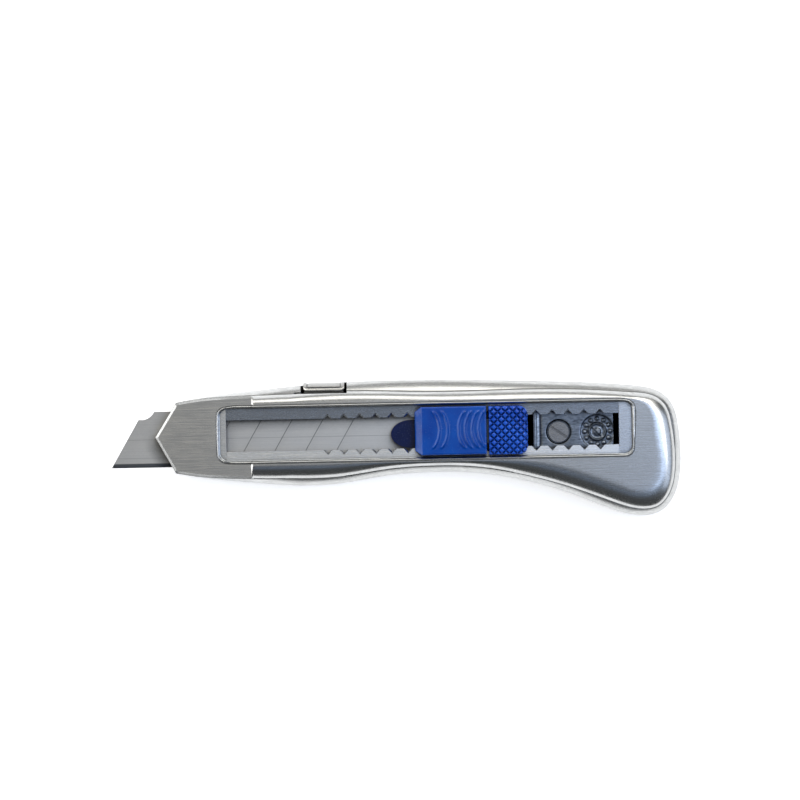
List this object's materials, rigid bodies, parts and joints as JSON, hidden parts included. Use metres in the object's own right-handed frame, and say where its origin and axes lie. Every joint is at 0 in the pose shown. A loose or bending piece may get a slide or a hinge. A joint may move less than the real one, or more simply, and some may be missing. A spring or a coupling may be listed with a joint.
{
  "type": "utility knife",
  "caption": "Heavy cast-metal snap-off utility knife: thumb slider on a notched steel rail, knurled release pad, edge catch button and blades stored in the handle.",
  "frame": {"origin": "middle of the knife's length and height on its flat back, with the knife lying on that back", "axes": "+X along the handle from the blade's point to the heel, +Y across the handle towards the blade's spine, +Z out of the thumb side"},
  "size_m": [0.1834, 0.0451, 0.0192],
  "materials": {
    "cast_front": "satin-brushed die-cast zinc, front half",
    "cast_back": "satin die-cast zinc, back half",
    "rail_steel": "stamped steel, bright",
    "plate_steel": "stamped steel sheet",
    "screw_steel": "nickel-plated steel",
    "insert_brass": "turned brass",
    "blade_steel": "ground carbon steel",
    "spring_steel": "blue spring steel",
    "slider_plastic": "blue moulded plastic, semi-gloss",
    "carrier_plastic": "dark blue moulded plastic",
    "pad_plastic": "blue-violet moulded plastic, semi-gloss",
    "button_metal": "satin die-cast zinc"
  },
  "bodies": {
    "handle": {"front_shell": "cast_front", "back_shell": "cast_back", "toothed_rail": "rail_steel", "guide_plate": "plate_steel", "guide_screws": "screw_steel", "clamp_plate": "cast_front", "clamp_screw": "screw_steel", "threaded_insert": "insert_brass", "spare_blade_lower": "blade_steel", "spare_blade_upper": "blade_steel", "spare_clip": "spring_steel", "clip_screw": "screw_steel", "catch_spring": "spring_steel"},
    "slider": {"thumb_slider": "slider_plastic", "blade_carrier": "carrier_plastic", "blade_pin": "screw_steel", "slider_rivets": "screw_steel", "cutter_blade": "blade_steel", "notch_spring": "spring_steel"},
    "pad": {"lock_pad": "pad_plastic"},
    "catch": {"catch_button": "button_metal"}
  },
  "joints": [
    {"name": "blade_slide", "type": "slide", "parent": "handle", "child": "slider", "axis": [-1, 0, 0], "range_m": [-0.0309, 0.05665], "deforming": ["notch_spring"]},
    {"name": "pad_press", "type": "slide", "parent": "slider", "child": "pad", "axis": [0, 0, -1], "range_m": [0, 0.0009], "stiffness_N_per_m": 900, "springref_m": -0.0008, "deforming": ["notch_spring"]},
    {"name": "catch_press", "type": "slide", "parent": "handle", "child": "catch", "axis": [0, -1, 0], "range_m": [0, 0.001], "stiffness_N_per_m": 1500, "springref_m": -0.0008, "deforming": ["catch_spring"]}
  ]
}
